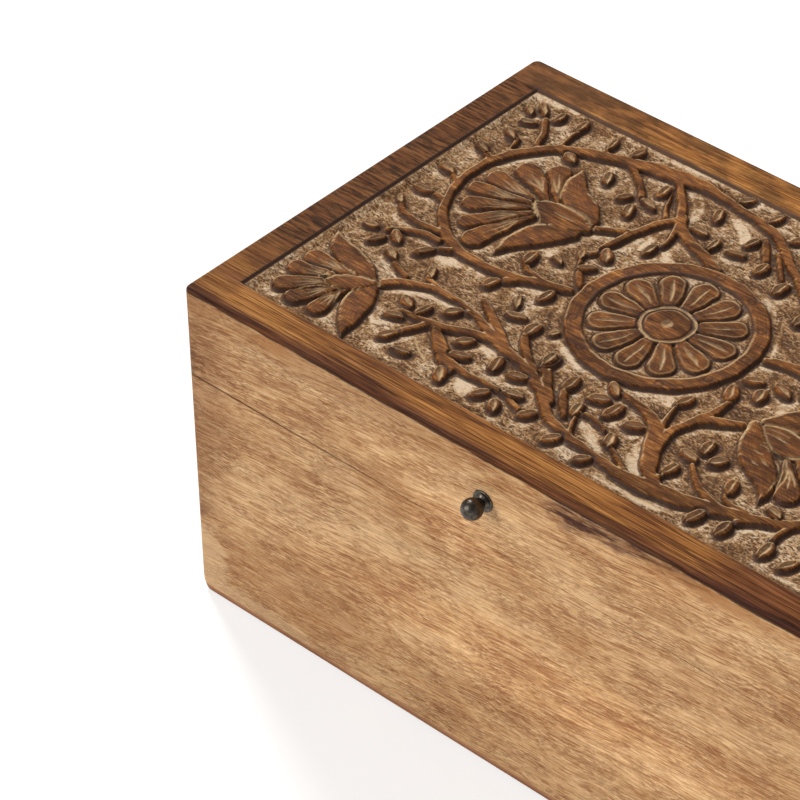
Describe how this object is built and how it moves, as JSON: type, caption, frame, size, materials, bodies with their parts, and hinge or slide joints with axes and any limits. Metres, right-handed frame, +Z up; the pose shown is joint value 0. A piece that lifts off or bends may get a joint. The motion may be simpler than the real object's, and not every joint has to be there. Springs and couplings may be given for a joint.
{
  "type": "keepsake box",
  "caption": "Rectangular wooden keepsake box with a hinged lid, a recessed lid panel carved with a flower medallion and vines, and a small round iron knob.",
  "frame": {"origin": "middle of the underside, on the surface that the box stands on", "axes": "+X along the length, +Y from the front with the knob to the hinged back, +Z up"},
  "size_m": [0.3, 0.2134, 0.15],
  "materials": {
    "mango_wood": "waxed, fine straight grain",
    "carved_wood": "stained brown, carved ground limed pale",
    "ply": "thin ply, reddish brown edge",
    "dark_iron": "blackened, worn",
    "steel": "dulled screw steel"
  },
  "bodies": {
    "base": {"base_bottom": "ply", "base_front": "mango_wood", "base_back": "mango_wood", "base_left": "mango_wood", "base_right": "mango_wood", "hinge_base_leaf_left": "dark_iron", "hinge_base_leaf_right": "dark_iron", "hinge_pin_left": "dark_iron", "hinge_pin_right": "dark_iron", "hinge_screws_base": "steel"},
    "lid": {"lid_front": "mango_wood", "lid_back": "mango_wood", "lid_left": "mango_wood", "lid_right": "mango_wood", "lid_top": "carved_wood", "hinge_lid_leaf_left": "dark_iron", "hinge_lid_leaf_right": "dark_iron", "hinge_screws_lid": "steel", "knob": "dark_iron", "knob_rosette": "dark_iron", "knob_washer": "dark_iron", "knob_nut": "dark_iron"}
  },
  "joints": [
    {"name": "lid_hinge", "type": "hinge", "parent": "base", "child": "lid", "pos_m": [0, 0.0985, 0.1094], "axis": [-1, 0, 0], "range_deg": [0, 97]}
  ]
}
